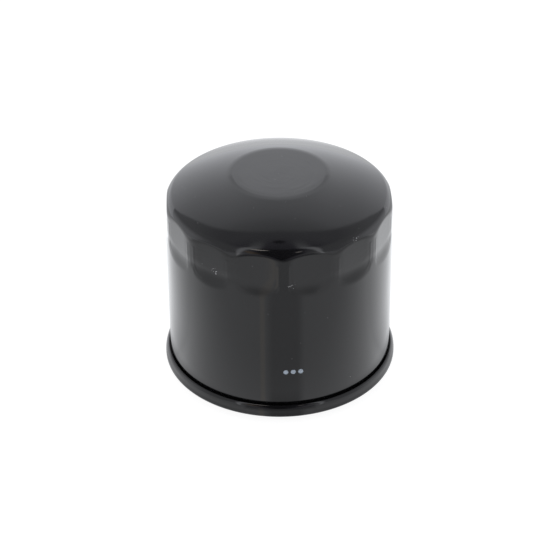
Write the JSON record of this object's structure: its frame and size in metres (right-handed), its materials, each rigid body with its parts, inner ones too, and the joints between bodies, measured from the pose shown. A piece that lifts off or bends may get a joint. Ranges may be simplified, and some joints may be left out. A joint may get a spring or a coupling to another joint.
{
  "type": "spin-on oil filter",
  "caption": "Spin-on engine oil filter: glossy black drawn can with a fluted domed end, rolled seam, threaded base plate, rubber gasket, pleated element, bypass valve and drainback valve.",
  "frame": {"origin": "on the thread axis, in the plane of the gasket's sealing face, which is the lowest face of the part", "axes": "+Z along the thread axis, from the engine face to the dome; -Y faces the viewer"},
  "size_m": [0.0684, 0.0684, 0.0632],
  "materials": {
    "black_paint": "gloss black stoved paint on drawn steel",
    "zinc_steel": "zinc-plated pressed steel, turned thread",
    "tinned_steel": "tinned sheet steel",
    "spring_steel": "plain spring steel",
    "nitrile": "matt moulded nitrile rubber",
    "filter_paper": "resin-treated cellulose, corrugated",
    "sealant": "cured plastisol"
  },
  "bodies": {
    "root": {"canister": "black_paint", "seaming_lid": "black_paint", "seam_compound": "sealant", "base_plate": "zinc_steel", "base_gasket": "nitrile", "lower_end_cap": "tinned_steel", "lower_adhesive": "sealant", "centre_tube": "tinned_steel", "pleated_media": "filter_paper", "media_seam_clip": "tinned_steel", "upper_adhesive": "sealant", "upper_end_cap": "tinned_steel", "bypass_case": "tinned_steel", "bypass_seat": "tinned_steel", "load_spring": "spring_steel"},
    "bypass_valve": {"bypass_poppet": "spring_steel", "bypass_seal": "nitrile", "bypass_spring": "spring_steel"},
    "drainback_skirt": {"drainback_valve": "nitrile"}
  },
  "joints": [
    {"name": "bypass_lift", "type": "slide", "parent": "root", "child": "bypass_valve", "axis": [0, 0, -1], "range_m": [0, 0.0025], "stiffness_N_per_m": 2500, "springref_m": -0.0023, "deforming": ["bypass_spring"]},
    {"name": "drainback_lift", "type": "slide", "parent": "root", "child": "drainback_skirt", "axis": [0, 0, 1], "range_m": [0, 0.001], "stiffness_N_per_m": 500, "springref_m": -0.001, "deforming": ["drainback_valve"]}
  ]
}
